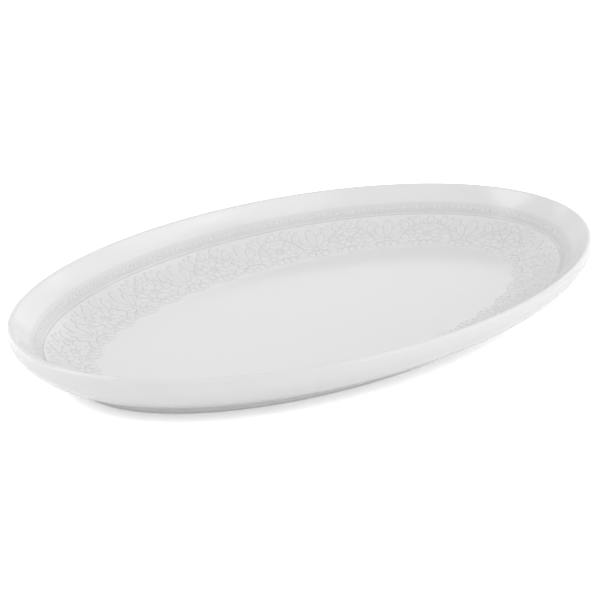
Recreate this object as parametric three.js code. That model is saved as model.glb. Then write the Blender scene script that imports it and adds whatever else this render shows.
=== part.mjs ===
// An oval porcelain serving plate with a raised wall, a set-in foot ring and a raised white border inside.
// Millimetres, +Z up, +X along the plate. The origin is on the table, under the middle of the plate.
// Insets are measured inwards, in plan, from the outer edge of the rim; heights are measured up from the table.
import * as THREE from 'three';

// Overall size of the glazed plate
const LENGTH = 400;
const WIDTH = 246;
const HEIGHT = 33;

// Inside: rounded lip, plain sloping band, crease, hollow cove and flat floor
const LIP_RADIUS = 2;
const BAND_INSET = 11.5;
const BAND_DROP = 8.5;
const CREASE_DROP = 0.5;
const CREASE_WIDTH = 0.15;
const FLOOR_INSET = 55;
const FLOOR_THICKNESS = 4.4;

// Outside: the wall stands upright under the lip, then turns under and runs into the foot ring
const WALL_UPRIGHT = 14;
const UNDERCUT_REACH = 14;
const UNDERCUT_ANGLE = THREE.MathUtils.degToRad(21);

// Foot ring: tapered sides, a flat lower face, and a bare strip above the table that is wiped free of glaze
const FOOT_INSET = 34.5;
const FOOT_WIDTH = 6.5;
const FOOT_HEIGHT = 3.6;
const FOOT_LEAN = 0.8;
const FOOT_BARE_HEIGHT = 0.8;
const FOOT_EDGE = 0.5;
const UNDERSIDE_HEIGHT = 1.6;

// Thickness of the fired glaze
const GLAZE = 0.4;

// Raised ornament on the cove, in order from the crease inwards
const ORNAMENT_GAP = 0.7;
const BEAD_WIDTH = 5.4;
const BEAD_HEIGHT = 0.5;
const LINE_WIDTH = 1.0;
const LINE_HEIGHT = 0.3;
const FRIEZE_WIDTH = 30.5;
const FRIEZE_HEIGHT = 0.4;

// Fineness of the facets
const SEGMENTS = 60;
const LIP_STEPS = 2;
const FRIEZE_STEPS = 4;
const WALL_STEPS = 6;

const FLOOR_HEIGHT = UNDERSIDE_HEIGHT + FLOOR_THICKNESS;
const CREASE_HEIGHT = HEIGHT - BAND_DROP;

const at = (inset, height) => new THREE.Vector2(inset, height);

// A point of a section that lies over the middle of the plate, where the oval closes
function onAxis(height) {
  const point = at(Infinity, height);
  point.axis = true;
  return point;
}

// The plain band is a straight line from the crease that just touches the round of the lip. Its slope is
// the line to the centre of the round, plus the angle that the radius takes up at that distance.
const lipCentre = at(LIP_RADIUS, HEIGHT - LIP_RADIUS);
const crease = at(BAND_INSET, CREASE_HEIGHT);
const creaseToLip = lipCentre.clone().sub(crease);
const bandAngle = Math.PI - creaseToLip.angle() + Math.asin(LIP_RADIUS / creaseToLip.length());

// The cove leaves the crease at the slope of the band and ends level with the floor
const coveTop = at(BAND_INSET + CREASE_WIDTH, CREASE_HEIGHT - CREASE_DROP);
const covePull = at(coveTop.x + (coveTop.y - FLOOR_HEIGHT) / Math.tan(bandAngle), FLOOR_HEIGHT);
const cove = new THREE.QuadraticBezierCurve(coveTop, covePull, at(FLOOR_INSET, FLOOR_HEIGHT));

// The point of the cove or floor at a given inset
function dishPoint(inset) {
  if (inset >= FLOOR_INSET) return at(inset, FLOOR_HEIGHT);
  const start = covePull.x - coveTop.x;
  const bend = FLOOR_INSET - covePull.x - start;
  const along = inset - coveTop.x;
  const share = along / (start + Math.sqrt(start ** 2 + bend * along));
  return at(inset, cove.getPoint(share).y);
}

// The round of the lip between two angles, in steps
function lipArc(fromAngle, toAngle) {
  const arc = new THREE.EllipseCurve(
    lipCentre.x, lipCentre.y, LIP_RADIUS, LIP_RADIUS, fromAngle, toAngle, toAngle < fromAngle,
  );
  return arc.getPoints(LIP_STEPS);
}

// Insets of the raised ornament: a list of [outer edge, inner edge]
const beadEdges = [coveTop.x + ORNAMENT_GAP, coveTop.x + ORNAMENT_GAP + BEAD_WIDTH];
const lineEdges = [beadEdges[1] + ORNAMENT_GAP, beadEdges[1] + ORNAMENT_GAP + LINE_WIDTH];
const friezeEdges = [lineEdges[1] + ORNAMENT_GAP, lineEdges[1] + ORNAMENT_GAP + FRIEZE_WIDTH];
const friezeInsets = Array.from(
  { length: FRIEZE_STEPS + 1 },
  (_, step) => THREE.MathUtils.lerp(friezeEdges[0], friezeEdges[1], step / FRIEZE_STEPS),
);

// The glazed surface of the inside, from the crest of the lip inwards to the middle
const coveInsets = [...beadEdges, ...lineEdges, ...friezeInsets, FLOOR_INSET].sort((a, b) => a - b);
const inside = [
  ...lipArc(Math.PI / 2, Math.PI / 2 - bandAngle),
  crease,
  coveTop,
  ...coveInsets.map(dishPoint),
  onAxis(FLOOR_HEIGHT),
];

// The glazed surface of the outside, from the bare strip of the foot ring up to the crest of the lip
const wallTop = at(0, HEIGHT - LIP_RADIUS);
const footRoot = at(FOOT_INSET, FOOT_HEIGHT);
const wall = new THREE.CubicBezierCurve(
  footRoot,
  at(
    footRoot.x - UNDERCUT_REACH * Math.cos(UNDERCUT_ANGLE),
    footRoot.y + UNDERCUT_REACH * Math.sin(UNDERCUT_ANGLE),
  ),
  at(0, wallTop.y - WALL_UPRIGHT),
  wallTop,
);
const outside = [
  at(FOOT_INSET + FOOT_LEAN, FOOT_BARE_HEIGHT),
  ...wall.getPoints(WALL_STEPS),
  ...lipArc(Math.PI, Math.PI / 2).slice(1),
];

// The glazed surface of the underside, from the bare strip inside the foot ring to the middle
const underside = [
  at(FOOT_INSET + FOOT_WIDTH - FOOT_LEAN, FOOT_BARE_HEIGHT),
  at(FOOT_INSET + FOOT_WIDTH, UNDERSIDE_HEIGHT),
  onAxis(UNDERSIDE_HEIGHT),
];

// The normal of a section line at one of its points, turned a quarter from the line's direction,
// and lengthened at a corner so that an offset line keeps its distance on both sides
function cornerNormal(line, index) {
  const directions = [];
  if (index > 0) directions.push(line[index].clone().sub(line[index - 1]));
  if (index < line.length - 1) directions.push(line[index + 1].clone().sub(line[index]));
  const normals = directions.map((step) => {
    const runsToMiddle = !Number.isFinite(step.x);
    return runsToMiddle ? at(0, 1) : at(-step.y, step.x).normalize();
  });
  const middle = normals.reduce((sum, normal) => sum.add(normal), at(0, 0)).normalize();
  return middle.divideScalar(middle.dot(normals[0]));
}

// A line beside a section line, at a distance to its left as the line runs
function offset(line, distance) {
  return line.map((point, index) => {
    if (point.axis) return onAxis(point.y + distance);
    return point.clone().addScaledVector(cornerNormal(line, index), distance);
  });
}

// Where the clay starts under each glazed surface. The outside and the inside are one line over the lip.
const skinClay = offset([...outside, ...inside.slice(1)], -GLAZE);
const outsideClay = skinClay.slice(0, outside.length);
const insideClay = skinClay.slice(outside.length - 1);
const undersideClay = offset(underside, GLAZE);
const [footStripClay, footRootClay] = outsideClay;
const [footInnerStripClay, footInnerRootClay] = undersideClay;

// Sweeps a closed section round the oval. The section runs outwards along its upper side and back along its
// lower side. Each four-sided facet is cut from its outer edge to its inner edge, so that two solids that
// share a surface share its triangles too.
function ovalSolid(section) {
  const positions = [];
  const rows = section.map((point) => {
    const start = positions.length / 3;
    const count = point.axis ? 1 : SEGMENTS;
    for (let i = 0; i < count; i += 1) {
      const angle = (2 * Math.PI * i) / SEGMENTS;
      const x = point.axis ? 0 : (LENGTH / 2 - point.x) * Math.cos(angle);
      const y = point.axis ? 0 : (WIDTH / 2 - point.x) * Math.sin(angle);
      positions.push(x, y, point.y);
    }
    return { point, corner: (i) => start + (i % count) };
  });

  const triangles = [];
  rows.forEach((row, index) => {
    const next = rows[(index + 1) % rows.length];
    if (row.point.axis && next.point.axis) return;
    const nextIsOuter = next.point.x < row.point.x
      || (next.point.x === row.point.x && next.point.y > row.point.y);
    for (let i = 0; i < SEGMENTS; i += 1) {
      const [a, b, c, d] = [row.corner(i), next.corner(i), next.corner(i + 1), row.corner(i + 1)];
      if (row.point.axis) triangles.push(a, b, c);
      else if (next.point.axis) triangles.push(a, b, d);
      else if (nextIsOuter) triangles.push(a, b, d, b, c, d);
      else triangles.push(a, b, c, a, c, d);
    }
  });

  const geometry = new THREE.BufferGeometry();
  geometry.setAttribute('position', new THREE.Float32BufferAttribute(positions, 3));
  geometry.setIndex(triangles);
  geometry.computeVertexNormals();
  return geometry;
}

// A raised band that lies on the glazed inside between two insets, with sides that slope in by its height
function raisedBand([outerEdge, innerEdge], height) {
  const base = inside.filter((point) => point.x >= outerEdge && point.x <= innerEdge);
  const top = offset(base, height);
  const last = base.length - 1;
  top[0].add(base[1].clone().sub(base[0]).setLength(height));
  top[last].add(base[last - 1].clone().sub(base[last]).setLength(height));
  return ovalSolid([...top.reverse(), ...base]);
}

const clay = new THREE.MeshStandardMaterial({ color: 0xf2f0eb, roughness: 0.6, metalness: 0 });
const glaze = new THREE.MeshStandardMaterial({ color: 0xf4f4f4, roughness: 0.12, metalness: 0 });
const enamel = new THREE.MeshStandardMaterial({ color: 0xeeeeee, roughness: 0.35, metalness: 0 });

const plate = new THREE.Group();

function addPiece(name, geometry, material) {
  const mesh = new THREE.Mesh(geometry, material);
  mesh.name = name;
  plate.add(mesh);
}

// Pressed clay body: floor, cove, wall and lip
addPiece('porcelain_body', ovalSolid([
  ...skinClay.slice(1).reverse(),
  ...undersideClay.slice(1),
]), clay);

// Standing ring under the body, flat on the table
addPiece('foot_ring', ovalSolid([
  footInnerRootClay,
  footRootClay,
  footStripClay,
  at(footStripClay.x + FOOT_EDGE, 0),
  at(footInnerStripClay.x - FOOT_EDGE, 0),
  footInnerStripClay,
]), clay);

// Three coats of glaze, which meet on the crest of the lip and stop at the foot ring's bare strip
addPiece('dish_glaze', ovalSolid([...inside.toReversed(), ...insideClay]), glaze);
addPiece('wall_glaze', ovalSolid([...outside.toReversed(), ...outsideClay]), glaze);
addPiece('base_glaze', ovalSolid([...undersideClay.toReversed(), ...underside]), glaze);

// Raised white ornament on the cove
addPiece('bead_border', raisedBand(beadEdges, BEAD_HEIGHT), enamel);
addPiece('fine_line', raisedBand(lineEdges, LINE_HEIGHT), enamel);
addPiece('frieze_relief', raisedBand(friezeEdges, FRIEZE_HEIGHT), enamel);

export default plate;
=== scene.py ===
import math

import bpy
import numpy as np
from mathutils import Matrix, Vector


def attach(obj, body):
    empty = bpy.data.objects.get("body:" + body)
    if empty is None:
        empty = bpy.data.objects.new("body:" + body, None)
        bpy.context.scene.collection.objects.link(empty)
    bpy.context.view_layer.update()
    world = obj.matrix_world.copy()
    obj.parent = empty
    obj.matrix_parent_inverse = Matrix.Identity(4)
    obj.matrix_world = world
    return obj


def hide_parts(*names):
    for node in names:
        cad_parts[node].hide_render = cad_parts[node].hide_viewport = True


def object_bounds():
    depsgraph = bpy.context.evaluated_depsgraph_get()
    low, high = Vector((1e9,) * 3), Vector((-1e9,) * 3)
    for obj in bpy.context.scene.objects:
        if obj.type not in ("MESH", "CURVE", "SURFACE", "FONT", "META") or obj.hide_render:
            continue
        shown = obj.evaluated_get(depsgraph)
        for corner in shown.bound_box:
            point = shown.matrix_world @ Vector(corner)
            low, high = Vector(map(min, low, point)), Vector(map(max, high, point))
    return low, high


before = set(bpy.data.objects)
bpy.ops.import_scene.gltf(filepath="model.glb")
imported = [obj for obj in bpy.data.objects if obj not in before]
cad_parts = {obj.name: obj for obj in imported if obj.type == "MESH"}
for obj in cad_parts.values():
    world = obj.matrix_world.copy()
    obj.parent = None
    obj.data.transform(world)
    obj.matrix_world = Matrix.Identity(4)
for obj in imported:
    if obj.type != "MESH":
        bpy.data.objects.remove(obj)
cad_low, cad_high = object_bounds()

# Porcelain body
# The pressed clay core of the plate: floor, hollow cove, wall and lip, fired to hard white porcelain.
# Glaze covers all of it, so it shows only where a coat would be chipped.

MM = 0.001
half_length = (cad_high.x - cad_low.x) / 2
half_width = (cad_high.y - cad_low.y) / 2
rim_height = cad_high.z

# Insets are measured inwards in plan from the outer edge of the rim, heights up from the table
LIP_RADIUS = 2.0 * MM
BAND_INSET = 11.5 * MM
BAND_DROP = 8.5 * MM
BAND_HOLLOW = math.radians(5)
CREASE_DROP = 0.5 * MM
CREASE_WIDTH = 0.15 * MM
FLOOR_INSET = 55.0 * MM
FLOOR_HEIGHT = 6.0 * MM
WALL_UPRIGHT = 14.0 * MM
UNDERCUT_REACH = 14.0 * MM
UNDERCUT_ANGLE = math.radians(21)
FOOT_INSET = 34.5 * MM
FOOT_WIDTH = 6.5 * MM
FOOT_HEIGHT = 3.6 * MM
FOOT_LEAN = 0.8 * MM
FOOT_BARE_HEIGHT = 0.8 * MM
UNDERSIDE_HEIGHT = 1.6 * MM
GLAZE = 0.4 * MM

AROUND = 320
LIP_STEPS = 7
BAND_STEPS = 8
COVE_STEPS = 26
WALL_STEPS = 22
FLOOR_STEPS = 6
WELD_REACH = 0.002 * MM
SMOOTH_UP_TO = math.radians(38)


def bend(pulls, steps):
    """Points of a section along the smooth curve that starts at the first pull and ends at the last."""
    curve = []
    for share in np.linspace(0, 1, steps + 1):
        left = [np.array(pull) for pull in pulls]
        while len(left) > 1:
            left = [a + (b - a) * share for a, b in zip(left, left[1:])]
        curve.append(tuple(left[0]))
    return curve


def lip_arc(start, stop):
    """Points of a section round the lip between two angles."""
    arc = []
    for angle in np.linspace(start, stop, LIP_STEPS + 1):
        inset = lip_centre[0] + LIP_RADIUS * math.cos(angle)
        arc.append((inset, lip_centre[1] + LIP_RADIUS * math.sin(angle)))
    return arc


def beside(line, distance):
    """The line at a distance to the left of a section line, with the middle of the plate kept in place."""
    points = np.array(line)
    steps = np.diff(points, axis=0)
    steps /= np.linalg.norm(steps, axis=1)[:, None]
    normals = np.stack([-steps[:, 1], steps[:, 0]], axis=1)
    before = np.vstack([normals[:1], normals])
    middle = before + np.vstack([normals, normals[-1:]])
    middle /= np.linalg.norm(middle, axis=1)[:, None]
    moved = points + distance * middle / (middle * before).sum(axis=1)[:, None]
    return [tuple(point) for point in moved]


# Inside: the plain band touches the round of the lip, the cove leaves the crease at the band's slope
lip_centre = (LIP_RADIUS, rim_height - LIP_RADIUS)
crease = (BAND_INSET, rim_height - BAND_DROP)
to_lip = (lip_centre[0] - crease[0], lip_centre[1] - crease[1])
band_angle = math.pi - math.atan2(to_lip[1], to_lip[0]) + math.asin(LIP_RADIUS / math.hypot(*to_lip))
cove_top = (BAND_INSET + CREASE_WIDTH, crease[1] - CREASE_DROP)
cove_pull = (cove_top[0] + (cove_top[1] - FLOOR_HEIGHT) / math.tan(band_angle), FLOOR_HEIGHT)
floor_edge = (FLOOR_INSET, FLOOR_HEIGHT)
steep = band_angle + BAND_HOLLOW
gentle = band_angle - BAND_HOLLOW
band_top = lip_arc(math.pi / 2, math.pi / 2 - steep)
band_fall = band_top[-1][1] - cove_top[1] - (cove_top[0] - band_top[-1][0]) * math.tan(gentle)
pull_reach = band_fall / (math.tan(steep) - math.tan(gentle))
band_pull = (band_top[-1][0] + pull_reach, band_top[-1][1] - pull_reach * math.tan(steep))
inside = [
    *band_top,
    *bend([band_top[-1], band_pull, cove_top], BAND_STEPS)[1:],
    *bend([cove_top, cove_pull, floor_edge], COVE_STEPS)[1:],
]

# Outside: the wall stands upright under the lip, turns under and runs into the foot
wall_top = (0.0, rim_height - LIP_RADIUS)
foot_root = (FOOT_INSET, FOOT_HEIGHT)
wall_pull = (0.0, wall_top[1] - WALL_UPRIGHT)
undercut_pull = (
    foot_root[0] - UNDERCUT_REACH * math.cos(UNDERCUT_ANGLE),
    foot_root[1] + UNDERCUT_REACH * math.sin(UNDERCUT_ANGLE),
)
outside = [
    (FOOT_INSET + FOOT_LEAN, FOOT_BARE_HEIGHT),
    *bend([foot_root, undercut_pull, wall_pull, wall_top], WALL_STEPS),
    *lip_arc(math.pi, math.pi / 2)[1:],
]
underside = [
    (FOOT_INSET + FOOT_WIDTH - FOOT_LEAN, FOOT_BARE_HEIGHT),
    (FOOT_INSET + FOOT_WIDTH, UNDERSIDE_HEIGHT),
    (FLOOR_INSET, UNDERSIDE_HEIGHT),
]
skin_clay = beside(outside + inside[1:], -GLAZE)
outside_clay = skin_clay[: len(outside)]
inside_clay = skin_clay[len(outside) - 1 :]
underside_clay = beside(underside, GLAZE)


def rings_of(section):
    """The half length, half width and height of the oval ring at each point of a section."""
    return [(half_length - inset, half_width - inset, height) for inset, height in section]


def rings_to_middle(ring):
    """Level rings that shrink from the given one towards the middle of the plate."""
    length, width, height = ring
    shares = np.linspace(1, 0, FLOOR_STEPS + 1)[1:-1]
    return [(length * share, width * share, height) for share in shares]


def raise_rings(name, rings, closes_on_itself):
    """Starts from one oval ring of edges, and extrudes, scales and lifts it to each next ring. A piece that
    doesn't close on itself is closed at both ends by a point in the middle of the plate."""
    bpy.ops.object.select_all(action="DESELECT")
    length, width, height = rings[0]
    bpy.ops.mesh.primitive_circle_add(vertices=AROUND, radius=1, location=(0, 0, 0))
    piece = bpy.context.object
    piece.name = name
    bpy.ops.object.mode_set(mode="EDIT")
    bpy.ops.mesh.select_all(action="SELECT")
    bpy.ops.transform.resize(value=(length, width, 1), center_override=(0, 0, 0))
    bpy.ops.transform.translate(value=(0, 0, height))
    onward = rings[1:] + rings[:1] if closes_on_itself else rings[1:]
    for next_length, next_width, next_height in onward:
        bpy.ops.mesh.extrude_edges_move(TRANSFORM_OT_translate={"value": (0, 0, next_height - height)})
        scale = (next_length / length, next_width / width, 1)
        bpy.ops.transform.resize(value=scale, center_override=(0, 0, 0))
        length, width, height = next_length, next_width, next_height
    if closes_on_itself:
        bpy.ops.mesh.select_all(action="SELECT")
        bpy.ops.mesh.remove_doubles(threshold=WELD_REACH)
    else:
        bpy.ops.mesh.merge(type="CENTER")
        bpy.ops.mesh.select_non_manifold(extend=False)
        bpy.ops.mesh.merge(type="CENTER")
    bpy.ops.mesh.select_all(action="SELECT")
    bpy.ops.mesh.normals_make_consistent(inside=False)
    bpy.ops.object.mode_set(mode="OBJECT")
    bpy.ops.object.shade_smooth_by_angle(angle=SMOOTH_UP_TO)
    return piece


class Value:
    """A socket of a finish. Arithmetic on it adds Math nodes."""

    def __init__(self, nodes, socket):
        self.nodes = nodes
        self.socket = socket

    def work(self, operation, first, second):
        return self.nodes.add("ShaderNodeMath", {"operation": operation}, {0: first, 1: second})

    def __add__(self, other):
        return self.work("ADD", self, other)

    def __radd__(self, other):
        return self.work("ADD", other, self)

    def __sub__(self, other):
        return self.work("SUBTRACT", self, other)

    def __rsub__(self, other):
        return self.work("SUBTRACT", other, self)

    def __mul__(self, other):
        return self.work("MULTIPLY", self, other)

    def __rmul__(self, other):
        return self.work("MULTIPLY", other, self)


class Nodes:
    """The nodes of one finish, of the floor or of the room."""

    def __init__(self, tree):
        self.tree = tree

    def add(self, kind, settings=None, inputs=None, output=0):
        node = self.tree.nodes.new(kind)
        for name, setting in (settings or {}).items():
            setattr(node, name, setting)
        for name, value in (inputs or {}).items():
            self.feed(node.inputs[name], value)
        return Value(self, node.outputs[output])

    def feed(self, socket, value):
        if isinstance(value, Value):
            self.tree.links.new(value.socket, socket)
        else:
            socket.default_value = value

    def place(self):
        return self.add("ShaderNodeTexCoord", output="Object")

    def noise(self, scale, detail):
        return self.add("ShaderNodeTexNoise", {}, {"Vector": self.place(), "Scale": scale, "Detail": detail})

    def blend(self, share, first, second):
        """A mix of two colours. Sockets 6, 7 and 2 are the ones of a Mix node that carry colour."""
        return self.add("ShaderNodeMix", {"data_type": "RGBA"}, {0: share, 6: first, 7: second}, 2)

    def bump(self, grain, depth):
        return self.add("ShaderNodeBump", {}, {"Height": grain, "Distance": depth})

    def ray(self, kind):
        return self.add("ShaderNodeLightPath", output=kind)

    def surface(self, **inputs):
        shader = self.tree.nodes["Principled BSDF"]
        for name, value in inputs.items():
            self.feed(shader.inputs[name.replace("_", " ")], value)


def new_finish(name):
    """A new material and the nodes of it."""
    material = bpy.data.materials.new(name)
    material.use_nodes = True
    return material, Nodes(material.node_tree)


CLAY_WHITE = (0.79, 0.775, 0.745, 1)
CLAY_GREY = (0.70, 0.685, 0.66, 1)
CLAY_ROUGHNESS = 0.5
CLAY_ROUGHNESS_SPREAD = 0.25
CLAY_GRAIN_DEPTH = 0.05 * MM

bare_porcelain, clay = new_finish("bare_porcelain")
clay_grain = clay.noise(scale=900, detail=4)
clay.surface(
    Base_Color=clay.blend(clay.noise(scale=60, detail=5), CLAY_WHITE, CLAY_GREY),
    Roughness=CLAY_ROUGHNESS + clay_grain * CLAY_ROUGHNESS_SPREAD,
    Normal=clay.bump(clay_grain, CLAY_GRAIN_DEPTH),
)

top_rings = rings_of([*reversed(inside_clay), *reversed(outside_clay[1:-1])])
base_rings = rings_of(underside_clay[1:])
core_rings = [
    *reversed(rings_to_middle(top_rings[0])),
    *top_rings,
    *base_rings,
    *rings_to_middle(base_rings[-1]),
]
core = raise_rings("porcelain_core", core_rings, closes_on_itself=False)
core.data.materials.append(bare_porcelain)
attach(core, "root")
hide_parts("porcelain_body")

# Foot ring
# The standing ring under the plate, of the same clay. Its lower face is wiped before firing, so it stays
# bare and matt, with the same faint grey mottling as the rest of the bare clay.

FOOT_EDGE = 0.5 * MM
FOOT_EDGE_STEPS = 6

strip = outside_clay[0]
inner_strip = underside_clay[0]
outer_edge = [strip, (strip[0], 0.0), (strip[0] + FOOT_EDGE, 0.0)]
inner_edge = [(inner_strip[0] - FOOT_EDGE, 0.0), (inner_strip[0], 0.0), inner_strip]
foot_section = [
    underside_clay[1],
    outside_clay[1],
    *bend(outer_edge, FOOT_EDGE_STEPS),
    *bend(inner_edge, FOOT_EDGE_STEPS),
]
foot = raise_rings("foot_ring_turned", rings_of(foot_section), closes_on_itself=True)
foot.data.materials.append(bare_porcelain)
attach(foot, "root")
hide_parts("foot_ring")

# Glaze coats
# Glossy white glaze over the clay, in three coats: inside, outside and under the base. The first two meet
# on the crest of the lip, and none covers the lower strip of the foot ring.

GLAZE_WHITE = (0.87, 0.87, 0.868, 1)
GLAZE_THIN = (0.845, 0.846, 0.848, 1)
GLAZE_ROUGHNESS = 0.10
GLAZE_ROUGHNESS_SPREAD = 0.08
GLAZE_IOR = 1.6
GLAZE_RIPPLE_DEPTH = 0.02 * MM

white_glaze, glaze = new_finish("white_glaze")
glaze_cloud = glaze.noise(scale=9, detail=3)
glaze.surface(
    Base_Color=glaze.blend(glaze_cloud, GLAZE_WHITE, GLAZE_THIN),
    Roughness=GLAZE_ROUGHNESS + glaze_cloud * GLAZE_ROUGHNESS_SPREAD,
    IOR=GLAZE_IOR,
    Normal=glaze.bump(glaze.noise(scale=110, detail=2), GLAZE_RIPPLE_DEPTH),
)


def glaze_coat(name, node, rings, closes_on_itself):
    """One coat of glaze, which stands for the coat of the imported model."""
    coat = raise_rings(name, rings, closes_on_itself)
    coat.data.materials.append(white_glaze)
    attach(coat, "root")
    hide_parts(node)


dish_top = rings_of(reversed(inside))
dish_under = rings_of(inside_clay)
dish_rings = [
    *reversed(rings_to_middle(dish_top[0])),
    *dish_top,
    *dish_under,
    *rings_to_middle(dish_under[-1]),
]
glaze_coat("inside_coat", "dish_glaze", dish_rings, closes_on_itself=False)

wall_rings = rings_of([*reversed(outside), *outside_clay])
glaze_coat("outside_coat", "wall_glaze", wall_rings, closes_on_itself=True)

under_top = rings_of(reversed(underside_clay))
under_face = rings_of(underside)
under_rings = [
    *reversed(rings_to_middle(under_top[0])),
    *under_top,
    *under_face,
    *rings_to_middle(under_face[-1]),
]
glaze_coat("underside_coat", "base_glaze", under_rings, closes_on_itself=False)

# Bead border
# A narrow raised band of white enamel on the glaze, under the crease, with a row of small domed beads along
# it. The beads are domes of the same enamel. The grey in the hollow round each bead, and the band's grey
# that deepens towards its lower edge, are partly settled glaze and partly painted shade.

ORNAMENT_GAP = 0.7 * MM
BEAD_BAND = 5.4 * MM
BEAD_BAND_RAISE = 0.06 * MM
BEAD_BAND_SLOPE = 0.5 * MM
BEAD_BAND_SPREAD = 0.6 * MM
BEAD_BAND_STEPS = 5
BEAD_BAND_TOP_POOLING = 0.24
BEAD_BAND_LOW_POOLING_AND_SHADE = 0.65
BEAD_RADIUS = 1.4 * MM
BEAD_RAISE = 0.40 * MM
BEAD_TOP_POOLING = 0.28
BEAD_FOOT_POOLING_AND_SHADE = 0.7
BEAD_SMOOTH_UP_TO = math.radians(60)
BEADS = 240
BEAD_SIDES = 12
BEAD_RINGS = 6
RING_PARTS = 7200
SUNK = 0.06 * MM

ENAMEL_WHITE = (0.865, 0.865, 0.863, 1)
ENAMEL_POOLED_AND_SHADED = (0.62, 0.62, 0.625, 1)
ENAMEL_ROUGHNESS = 0.15
ENAMEL_ROUGHNESS_SPREAD = 0.10
ENAMEL_GRAIN_DEPTH = 0.01 * MM

# The grey mixed in at each vertex is partly settled glaze and partly painted shade in hollows and along
# edges.
white_enamel, enamel = new_finish("white_enamel")
enamel_grain = enamel.noise(scale=420, detail=3)
pooled_grey_and_shade = enamel.add("ShaderNodeAttribute", {"attribute_name": "pooled_grey_and_shade"}, output="Fac")
enamel.surface(
    Base_Color=enamel.blend(pooled_grey_and_shade, ENAMEL_WHITE, ENAMEL_POOLED_AND_SHADED),
    Roughness=ENAMEL_ROUGHNESS + enamel_grain * ENAMEL_ROUGHNESS_SPREAD,
    Normal=enamel.bump(enamel_grain, ENAMEL_GRAIN_DEPTH),
)


def cove_share(inset):
    """How far along the curve of the cove an inset lies, from 0 at the crease to 1 at the floor."""
    start = cove_pull[0] - cove_top[0]
    spread = FLOOR_INSET - cove_pull[0] - start
    along = inset - cove_top[0]
    return along / (start + np.sqrt(start**2 + spread * along))


def cove_height(inset):
    """Height of the cove at an inset."""
    fall = (1 - cove_share(inset)) ** 2
    return FLOOR_HEIGHT + fall * (cove_top[1] - FLOOR_HEIGHT)


def cove_slope(inset):
    """Fall of the cove per unit of inset, a negative number."""
    step = 0.01 * MM
    return (cove_height(inset + step) - cove_height(inset - step)) / (2 * step)


def raised_section(profile):
    """A section of inset and height from insets on the cove and the raise over it."""
    section = []
    for inset, raised in profile:
        slope = cove_slope(inset)
        stretch = math.hypot(slope, 1)
        section.append((inset - raised * slope / stretch, cove_height(inset) + raised / stretch))
    return section


def paint_pooling_and_shade(piece, amounts):
    """Keeps how much grey is put at each vertex: partly settled glaze, partly painted shade in hollows and
    along edges.
    """
    layer = piece.data.attributes.new("pooled_grey_and_shade", "FLOAT", "POINT")
    layer.data.foreach_set("value", np.asarray(amounts, dtype=np.float32))


bead_outer = cove_top[0] + ORNAMENT_GAP
bead_inner = bead_outer + BEAD_BAND
bead_middle = (bead_outer + bead_inner) / 2
band_start = bead_outer - BEAD_BAND_SPREAD
band_stop = bead_inner + BEAD_BAND_SPREAD
bead_steps = np.linspace(band_start + BEAD_BAND_SLOPE, band_stop - BEAD_BAND_SLOPE, BEAD_BAND_STEPS)
bead_profile = [
    (band_start, -SUNK),
    *[(inset, BEAD_BAND_RAISE) for inset in bead_steps],
    (band_stop, -SUNK),
    *[(inset, -2 * SUNK) for inset in reversed(bead_steps)],
]
bead_rings = rings_of(reversed(raised_section(bead_profile)))
bead_band = raise_rings("bead_border_raised", bead_rings, closes_on_itself=True)
# The band is painted greyer the lower it lies on the cove: partly settled glaze, partly painted shade of the
# cove.
band_heights = np.array([vertex.co.z for vertex in bead_band.data.vertices])
band_depths = (band_heights.max() - band_heights) / np.ptp(band_heights)
band_pooling_and_shade_span = BEAD_BAND_LOW_POOLING_AND_SHADE - BEAD_BAND_TOP_POOLING
paint_pooling_and_shade(bead_band, BEAD_BAND_TOP_POOLING + band_pooling_and_shade_span * band_depths)


def oval_place(angle, inset, raised):
    """Point and upright direction on the cove, for arrays of oval angle, inset and raise."""
    around = np.stack([
        -(half_length - inset) * np.sin(angle),
        (half_width - inset) * np.cos(angle),
        np.zeros_like(angle + inset),
    ], axis=-1)
    inwards = np.stack([
        -np.cos(angle) + 0 * inset,
        -np.sin(angle) + 0 * inset,
        cove_slope(inset) + 0 * angle,
    ], axis=-1)
    upright = np.cross(inwards, around)
    upright *= np.sign(upright[..., 2:])
    upright /= np.linalg.norm(upright, axis=-1, keepdims=True)
    surface = np.stack([
        (half_length - inset) * np.cos(angle),
        (half_width - inset) * np.sin(angle),
        cove_height(inset) + 0 * angle,
    ], axis=-1)
    return surface + upright * np.asarray(raised)[..., None], upright


def way_round(inset):
    """Fine oval angles once round a ring, and how far along the ring each of them is."""
    fine = np.linspace(0, 2 * math.pi, RING_PARTS + 1)
    points = np.stack([(half_length - inset) * np.cos(fine), (half_width - inset) * np.sin(fine)], axis=1)
    steps = np.linalg.norm(np.diff(points, axis=0), axis=1)
    return fine, np.concatenate([[0], np.cumsum(steps)])


def angles_at(shares, inset):
    """Oval angles at shares of the way round a ring, so that what is spaced along it is even."""
    fine, run = way_round(inset)
    return np.interp(np.asarray(shares) * run[-1], run, fine)


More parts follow.
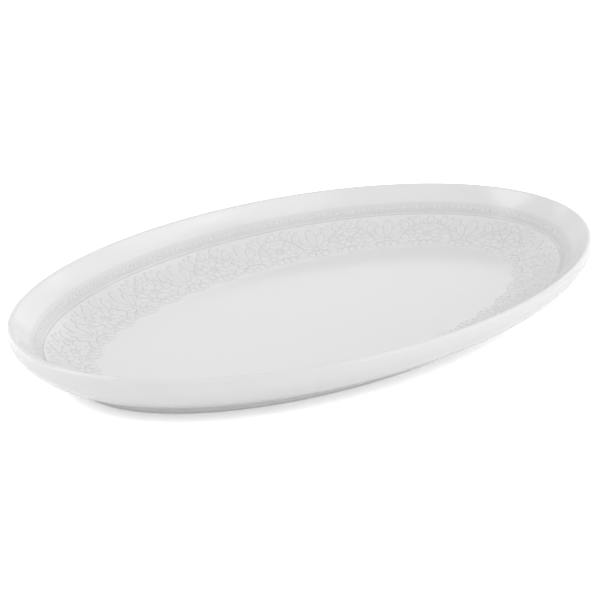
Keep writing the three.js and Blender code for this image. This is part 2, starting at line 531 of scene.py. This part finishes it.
# One bead, a flattened half ball with a short skirt that runs into the band, then copied along the band
bpy.ops.object.select_all(action="DESELECT")
bpy.ops.mesh.primitive_uv_sphere_add(segments=BEAD_SIDES, ring_count=BEAD_RINGS, radius=BEAD_RADIUS)
first_bead = bpy.context.object
bpy.ops.object.mode_set(mode="EDIT")
bpy.ops.mesh.select_all(action="SELECT")
bpy.ops.mesh.bisect(plane_co=(0, 0, 0), plane_no=(0, 0, 1), clear_inner=True, use_fill=True)
bpy.ops.mesh.select_all(action="SELECT")
flatness = (BEAD_RAISE + SUNK) / BEAD_RADIUS
bpy.ops.transform.resize(value=(1, 1, flatness), center_override=(0, 0, 0))
bpy.ops.object.mode_set(mode="OBJECT")
bpy.ops.object.shade_smooth_by_angle(angle=BEAD_SMOOTH_UP_TO)
bead_foot = BEAD_BAND_RAISE + SUNK
bead_heights = np.array([vertex.co.z for vertex in first_bead.data.vertices])
# Grey round the foot of each bead: settled glaze and painted shade of the hollow.
paint_pooling_and_shade(first_bead, np.where(bead_heights < bead_foot, BEAD_FOOT_POOLING_AND_SHADE, BEAD_TOP_POOLING))

bead_angles = angles_at((np.arange(BEADS) + 0.5) / BEADS, bead_middle)
bead_places, bead_uprights = oval_place(bead_angles, np.full(BEADS, bead_middle), np.full(BEADS, -SUNK))
beads = []
for place, upright in zip(bead_places, bead_uprights):
    bead = first_bead.copy()
    bead.data = first_bead.data.copy()
    turn = Vector(upright).to_track_quat("Z", "Y").to_matrix().to_4x4()
    bead.matrix_world = Matrix.Translation(place) @ turn
    bpy.context.collection.objects.link(bead)
    beads.append(bead)
bpy.data.objects.remove(first_bead)
bpy.ops.object.select_all(action="DESELECT")
for bead in beads:
    bead.select_set(True)
bead_band.select_set(True)
bpy.context.view_layer.objects.active = bead_band
bpy.ops.object.join()
bead_band.data.materials.append(white_enamel)
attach(bead_band, "root")
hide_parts("bead_border")

# Fine line
# Two hair-thin ridges of white enamel side by side, which divide the beads from the frieze. They are laid on
# the glaze with the rest of the ornament.

LINE_WIDTH = 1.0 * MM
RIDGE_RAISE = 0.26 * MM
VALLEY_RAISE = 0.03 * MM
LINE_POOLING = 0.4

line_outer = bead_inner + ORNAMENT_GAP
line_across = [
    (0.00, -SUNK),
    (0.14, RIDGE_RAISE),
    (0.30, RIDGE_RAISE),
    (0.44, VALLEY_RAISE),
    (0.56, VALLEY_RAISE),
    (0.70, RIDGE_RAISE),
    (0.86, RIDGE_RAISE),
    (1.00, -SUNK),
]
line_profile = [(line_outer + share * LINE_WIDTH, raised) for share, raised in line_across]
line_rings = rings_of(reversed(raised_section(line_profile)))
fine_line = raise_rings("fine_line_raised", line_rings, closes_on_itself=True)
paint_pooling_and_shade(fine_line, np.full(len(fine_line.data.vertices), LINE_POOLING))
fine_line.data.materials.append(white_enamel)
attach(fine_line, "root")
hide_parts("fine_line")

# Frieze
# A broad border of very low white enamel relief on the cove: palmettes and rosettes on a waving stem, with a
# fringe of leaves that gives it a scalloped inner edge. The grey along every edge of the relief is partly
# settled glaze and partly painted shade, and the leaves carry grey veins.

FRIEZE_WIDTH = 30.5 * MM
FRIEZE_REPEATS = 16
PANELS = 8
CELLS_ALONG = 180
CELLS_DOWN = 122
FRIEZE_PARTS = 2000
GROUND_POOLING = 0.06
OUTLINE_POOLING_AND_SHADE = 0.75

frieze_outer = line_outer + LINE_WIDTH + ORNAMENT_GAP
frieze_insets = np.linspace(frieze_outer, frieze_outer + FRIEZE_WIDTH, FRIEZE_PARTS + 1)
frieze_steps = np.hypot(np.diff(frieze_insets), np.diff(cove_height(frieze_insets)))
frieze_run = np.concatenate([[0], np.cumsum(frieze_steps)])
frieze_middle = frieze_outer + FRIEZE_WIDTH / 2
_, middle_run = way_round(frieze_middle)

# The drawing is made once, in millimetres on one repeat, mirrored about its middle
DRAWING_TOP = 0.9
DRAWING_END = 34.3
GROUND_RAISE = 0.05
OUTLINE = 0.25
EDGE_SOFTNESS = 0.22
EDGE_SHARE = 0.45
ROUNDING = 0.9
VEIN_WIDTH = 0.7 * OUTLINE
VEIN_STRENGTH = 0.55
VEIN_MARGIN = 0.3
LOBE_DEPTH = 0.2
STEM_PARTS = 40

pitch = middle_run[-1] / FRIEZE_REPEATS / MM
half_pitch = pitch / 2
cell_along = pitch / CELLS_ALONG
cell_down = (DRAWING_END - DRAWING_TOP) / CELLS_DOWN
along_grid, down_grid = np.meshgrid(
    np.abs(np.linspace(-half_pitch, half_pitch, CELLS_ALONG + 1)),
    np.linspace(DRAWING_TOP, DRAWING_END, CELLS_DOWN + 1),
)
relief = np.full_like(along_grid, GROUND_RAISE)
edge_shade_and_veins = np.zeros_like(along_grid)
covered = np.zeros_like(along_grid)


def lay(distance, raised, vein=None):
    """Lays one leaf, petal or boss over what is laid already, with grey along its edge, partly settled glaze
    and partly painted shade, and, for a leaf, a grey vein.
    """
    steep = np.hypot(*np.gradient(distance, cell_down, cell_along))
    distance = distance / np.maximum(steep, 1)
    over = np.clip(0.5 - distance / EDGE_SOFTNESS, 0, 1)
    rise = EDGE_SHARE + (1 - EDGE_SHARE) * np.sqrt(np.clip(-distance / ROUNDING, 0, 1))
    edge_shade_and_vein = np.exp(-((distance / OUTLINE) ** 2))
    if vein is not None:
        inner = distance < -VEIN_MARGIN
        edge_shade_and_vein = np.maximum(edge_shade_and_vein, VEIN_STRENGTH * inner * np.exp(-((vein / VEIN_WIDTH) ** 2)))
    relief[:] = relief * (1 - over) + raised * rise * over
    edge_shade_and_veins[:] = np.maximum(edge_shade_and_veins * (1 - over), edge_shade_and_vein)
    covered[:] = np.maximum(covered, over)


def petal(x, y, turn, length, width, blunt, swell, lobes=0):
    """Distance from a petal that grows from a point, and from its vein. A turn of 0 points to the floor."""
    sine = math.sin(math.radians(turn))
    cosine = math.cos(math.radians(turn))
    reach = (along_grid - x) * sine + (down_grid - y) * cosine
    aside = (along_grid - x) * cosine - (down_grid - y) * sine
    share = np.clip(reach / length, 0, 1)
    half = width / 2 * np.maximum(np.sin(math.pi * share**swell), 0) ** blunt
    if lobes:
        half = half * (1 - LOBE_DEPTH + LOBE_DEPTH * np.abs(np.sin(math.pi * lobes * share)))
    past = np.maximum(np.maximum(-reach, reach - length), 0)
    side = np.abs(aside) - half
    distance = np.where((side < 0) & (past == 0), side, np.hypot(np.maximum(side, 0), past))
    return distance, aside


def disc(x, y, radius):
    """Distance from a round boss."""
    return np.hypot(along_grid - x, down_grid - y) - radius


def stem(pulls, width):
    """Distance from a curved stem of even width."""
    distance = np.full_like(along_grid, pitch)
    curve = np.array(bend(pulls, STEM_PARTS))
    for start, step in zip(curve, np.diff(curve, axis=0)):
        share = ((along_grid - start[0]) * step[0] + (down_grid - start[1]) * step[1]) / (step @ step)
        share = np.clip(share, 0, 1)
        gap = np.hypot(along_grid - start[0] - share * step[0], down_grid - start[1] - share * step[1])
        distance = np.minimum(distance, gap)
    return distance - width / 2


def fan(x, y, turn, petals, width, raised, blunt, swell, veined=True):
    """A fan of petals from one point: each is a spread from the fan's direction and a length."""
    for spread, length in petals:
        for side in ((1, -1) if spread else (1,)):
            distance, vein = petal(x, y, turn + side * spread, length, width, blunt, swell)
            lay(distance, raised, vein if veined else None)


def whorl(x, y, petals, start, length, width, raised):
    """A round of plain petals about a point, each of which starts a little way out from it."""
    for k in range(petals):
        turn = 360 * (k + 0.5) / petals
        foot_x = x + start * math.sin(math.radians(turn))
        foot_y = y + start * math.cos(math.radians(turn))
        distance, _ = petal(foot_x, foot_y, turn, length, width, blunt=0.5, swell=1.35)
        lay(distance, raised)


# Fringe of rounded leaves, longest under the palmette and under the rosette, hung from a festoon
FRINGE_TOP = 25.3
FRINGE_LEAVES = 5
FRINGE_LENGTH = 7.0
FRINGE_SWING = 1.5
FRINGE_LEAF_WIDTH = 4.9
FRINGE_RAISE = 0.26
FESTOON = [(0, 25.4), (7, 27.0), (half_pitch - 7, 27.0), (half_pitch, 25.4)]
FESTOON_WIDTH = 1.3
FESTOON_RAISE = 0.28
for k in range(FRINGE_LEAVES + 1):
    place = half_pitch * k / FRINGE_LEAVES
    length = FRINGE_LENGTH + FRINGE_SWING * math.cos(2 * math.pi * k / FRINGE_LEAVES)
    distance, _ = petal(place, FRINGE_TOP, 0, length, FRINGE_LEAF_WIDTH, blunt=0.45, swell=1.35)
    lay(distance, FRINGE_RAISE)
lay(stem(FESTOON, FESTOON_WIDTH), FESTOON_RAISE)

# Waving stem with lobed leaves on both sides, and a small berry in each gap
WAVE = [(0, 25.2), (8, 25.2), (9, 16), (12.7, 13.5), (16.5, 11), (17, 6.5), (half_pitch, 6.5)]
WAVE_WIDTH = 1.4
WAVE_RAISE = 0.26
LEAF_RAISE = 0.30
LEAF_LOBES = 3
BERRY_RAISE = 0.28
LEAVES = [
    (7.0, 23.2, 58, 10.0, 5.4),
    (11.4, 15.4, 70, 8.0, 5.0),
    (12.6, 13.6, 206, 10.5, 5.6),
    (17.2, 8.8, 178, 7.5, 4.6),
    (16.6, 9.4, 22, 6.0, 3.8),
]
lay(stem(WAVE, WAVE_WIDTH), WAVE_RAISE)
for x, y, turn, length, width in LEAVES:
    distance, vein = petal(x, y, turn, length, width, blunt=0.7, swell=0.9, lobes=LEAF_LOBES)
    lay(distance, LEAF_RAISE, vein)
lay(disc(12.8, 3.4, radius=0.9), BERRY_RAISE)
lay(disc(15.4, 22.6, radius=1.0), BERRY_RAISE)

# Rosette in the inner bay of the wave, and a bud in the outer one
ROSETTE_DOWN = 18.0
ROSETTE_RAISE = 0.32
EYE_RAISE = 0.36
BOSS_RAISE = 0.38
BUD_RAISE = 0.32
whorl(half_pitch, ROSETTE_DOWN, petals=8, start=2.0, length=6.4, width=5.2, raised=ROSETTE_RAISE)
lay(disc(half_pitch, ROSETTE_DOWN, radius=2.4), EYE_RAISE)
lay(disc(half_pitch, ROSETTE_DOWN, radius=1.1), BOSS_RAISE)
OUTER_BUD = [(48, 5.4), (0, 6.6)]
fan(half_pitch, 8.0, 180, OUTER_BUD, 3.8, BUD_RAISE, blunt=0.5, swell=1.3, veined=False)

# Palmette with a boss, and a bud towards the floor
PALMETTE = [(88, 9.0), (58, 12.0), (29, 16.0), (0, 19.0)]
PALMETTE_DOWN = 22.4
PALMETTE_RAISE = 0.34
INNER_BUD = [(55, 4.8), (0, 5.6)]
fan(0, PALMETTE_DOWN, 180, PALMETTE, 5.8, PALMETTE_RAISE, blunt=0.55, swell=1.5)
lay(disc(0, PALMETTE_DOWN, radius=2.0), BOSS_RAISE)
fan(0, 24.4, 0, INNER_BUD, 3.2, BUD_RAISE, blunt=0.55, swell=1.2, veined=False)

# Past the fringe the sheet sinks under the glaze, so that the leaves make the edge
SINK_FROM = FRINGE_TOP + 2
BARELY_COVERED = 0.02
sunk_edge = -SUNK / MM
open_floor = (down_grid > SINK_FROM) & (covered < BARELY_COVERED)
relief[open_floor] = sunk_edge
edge_shade_and_veins[open_floor] = 0
relief[0, :] = sunk_edge
relief[-1, :] = sunk_edge
# Grey along the relief edges is settled glaze and painted shade; the veins are grey lines in the leaves.
pooled_and_shaded = GROUND_POOLING + (OUTLINE_POOLING_AND_SHADE - GROUND_POOLING) * np.clip(edge_shade_and_veins, 0, 1)

# Each panel is a flat grid that takes the drawing, bends onto the cove and gets a thin back
PANEL_REPEATS = FRIEZE_REPEATS // PANELS
PANEL_THICKNESS = 0.12 * MM
panel_columns = PANEL_REPEATS * CELLS_ALONG
for panel in range(PANELS):
    bpy.ops.object.select_all(action="DESELECT")
    bpy.ops.mesh.primitive_grid_add(x_subdivisions=panel_columns, y_subdivisions=CELLS_DOWN, size=2)
    sheet = bpy.context.object
    sheet.name = f"frieze_panel_{panel + 1}"
    flat = np.empty(len(sheet.data.vertices) * 3)
    sheet.data.vertices.foreach_get("co", flat)
    flat = flat.reshape(-1, 3)
    column = np.rint((1 - flat[:, 0]) / 2 * panel_columns).astype(int)
    row = np.rint((1 - flat[:, 1]) / 2 * CELLS_DOWN).astype(int)
    share_round = (panel * PANEL_REPEATS + column / CELLS_ALONG) / FRIEZE_REPEATS
    angle = angles_at(share_round, frieze_middle)
    inset = np.interp(row / CELLS_DOWN * frieze_run[-1], frieze_run, frieze_insets)
    drawn_column = column % CELLS_ALONG
    bent, _ = oval_place(angle, inset, relief[row, drawn_column] * MM)
    sheet.data.vertices.foreach_set("co", bent.ravel())
    paint_pooling_and_shade(sheet, pooled_and_shaded[row, drawn_column])
    bpy.ops.object.mode_set(mode="EDIT")
    bpy.ops.mesh.select_all(action="SELECT")
    bpy.ops.mesh.normals_make_consistent(inside=False)
    bpy.ops.object.mode_set(mode="OBJECT")
    if sheet.data.polygons[0].normal.z < 0:
        sheet.data.flip_normals()
    back = sheet.modifiers.new("back", "SOLIDIFY")
    back.thickness = PANEL_THICKNESS
    back.offset = -1
    bpy.ops.object.modifier_apply(modifier="back")
    bpy.ops.object.shade_smooth()
    sheet.data.materials.append(white_enamel)
    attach(sheet, "root")
    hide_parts("frieze_relief")

# Studio
# A round white floor in a white room, with soft lamps all round and a camera at the photographed angle. The
# floor looks white to the camera and in the glaze, and keeps the plate's own shadow. Close round the plate a
# painted contact shadow also darkens the floor colour the camera sees.

FLOOR_RADIUS = 1.3
FLOOR_SIDES = 64
FLOOR_DROP = 0.1 * MM
FLOOR_PAINT = 0.95
FLOOR_SEEN_BRIGHTER = 1.15
FLOOR_MIRRORED_BRIGHTER = 0.5
CONTACT_REACH = 9 * MM
CONTACT_SHADE = 0.5
CONTACT_SAMPLES = 16

bpy.ops.object.select_all(action="DESELECT")
bpy.ops.mesh.primitive_circle_add(
    vertices=FLOOR_SIDES, radius=FLOOR_RADIUS, fill_type="NGON", location=(0, 0, -FLOOR_DROP)
)
floor = bpy.context.object
floor.name = "studio_floor"
studio_white, studio = new_finish("studio_white")
seen = studio.ray("Is Camera Ray")
mirrored = studio.ray("Is Glossy Ray") + studio.ray("Is Transmission Ray")
# A contact shadow is painted into the floor colour the camera sees: darker where the plate is close above
# it.
contact = {"Distance": CONTACT_REACH}
openness = studio.add("ShaderNodeAmbientOcclusion", {"samples": CONTACT_SAMPLES}, contact, "AO")
painted_contact_shadow = 1 - CONTACT_SHADE + openness * CONTACT_SHADE
brighter = seen * painted_contact_shadow * FLOOR_SEEN_BRIGHTER + mirrored * FLOOR_MIRRORED_BRIGHTER
paint = studio.add("ShaderNodeBsdfDiffuse", {}, {"Color": FLOOR_PAINT + brighter})
studio.feed(studio.tree.nodes["Material Output"].inputs["Surface"], paint)
studio.tree.nodes.remove(studio.tree.nodes["Principled BSDF"])
floor.data.materials.append(studio_white)

ROOM_LIGHT = 0.27
ROOM_WHITE = (1, 1, 1, 1)

world = bpy.data.worlds.new("studio_room")
bpy.context.scene.world = world
world.use_nodes = True
room = Nodes(world.node_tree)
shown = room.ray("Is Camera Ray") + room.ray("Is Glossy Ray") + room.ray("Is Transmission Ray")
backdrop = world.node_tree.nodes["Background"]
room.feed(backdrop.inputs["Color"], ROOM_WHITE)
room.feed(backdrop.inputs["Strength"], ROOM_LIGHT + shown * (1 - ROOM_LIGHT))

CAMERA_TURN = math.radians(-45.02)
CAMERA_TILT = math.radians(21.28)
CAMERA_DISTANCE = 1.155
CAMERA_REACH = 50
FRAME_PIXELS = 600
FOCAL_PIXELS = 1995
PLATE_RIGHT_PIXELS = 17.3
PLATE_DOWN_PIXELS = 21.7

to_camera = Vector((
    math.sin(CAMERA_TURN) * math.cos(CAMERA_TILT),
    -math.cos(CAMERA_TURN) * math.cos(CAMERA_TILT),
    math.sin(CAMERA_TILT),
))
to_right = Vector((math.cos(CAMERA_TURN), math.sin(CAMERA_TURN), 0))
to_top = to_camera.cross(to_right)
look = -FOCAL_PIXELS * to_camera - PLATE_RIGHT_PIXELS * to_right + PLATE_DOWN_PIXELS * to_top
lens = bpy.data.cameras.new("photo_camera")
lens.lens = FOCAL_PIXELS * lens.sensor_width / FRAME_PIXELS
lens.clip_end = CAMERA_REACH
camera = bpy.data.objects.new("photo_camera", lens)
camera.location = to_camera * CAMERA_DISTANCE
camera.rotation_euler = look.to_track_quat("-Z", "Y").to_euler()
bpy.context.collection.objects.link(camera)
bpy.context.scene.camera = camera


def softbox(name, swing, lift, distance, size, watts, glare=True):
    """A square soft lamp that faces the plate, at a swing from the camera's right and a lift over the floor.
    One without glare is behind a polarising sheet, so the glaze doesn't mirror it."""
    lamp = bpy.data.lights.new(name, "AREA")
    lamp.shape = "SQUARE"
    lamp.size = size
    lamp.energy = watts
    turn = CAMERA_TURN + math.radians(swing)
    lift = math.radians(lift)
    place = Vector((math.cos(turn) * math.cos(lift), math.sin(turn) * math.cos(lift), math.sin(lift)))
    stand = bpy.data.objects.new(name, lamp)
    stand.visible_glossy = glare
    stand.location = place * distance
    stand.rotation_euler = (-place).to_track_quat("-Z", "Y").to_euler()
    bpy.context.collection.objects.link(stand)


# Swing and lift in degrees, distance and size in metres, power in watts
softbox("right_softbox", 32, 36, 1.6, 0.90, 1.9)
softbox("right_high_softbox", 2, 52, 1.6, 0.55, 0.9)
softbox("right_front_softbox", -40, 20, 1.6, 1.00, 3.0, glare=False)
softbox("right_back_softbox", 58, 14, 1.6, 0.95, 1.9)
softbox("right_low_softbox", -6, 22, 2.6, 2.80, 16.0)
softbox("right_low_veiled_softbox", -6, 22, 2.7, 2.90, 16.2, glare=False)
softbox("left_softbox", -178, 20, 1.6, 1.35, 4.0)
softbox("left_middle_softbox", -160, 40, 1.6, 0.80, 2.6)
softbox("left_high_softbox", -176, 57, 1.6, 0.72, 3.0)
softbox("left_back_softbox", 145, 16, 1.6, 0.95, 2.6)
softbox("back_softbox", 90, 30, 2.0, 1.20, 1.15)
softbox("left_front_low_softbox", -142, 18, 2.4, 1.70, 8.4, glare=False)
softbox("front_low_softbox", -86, 14, 2.4, 1.30, 5.4, glare=False)

bpy.context.scene.view_settings.view_transform = "Standard"
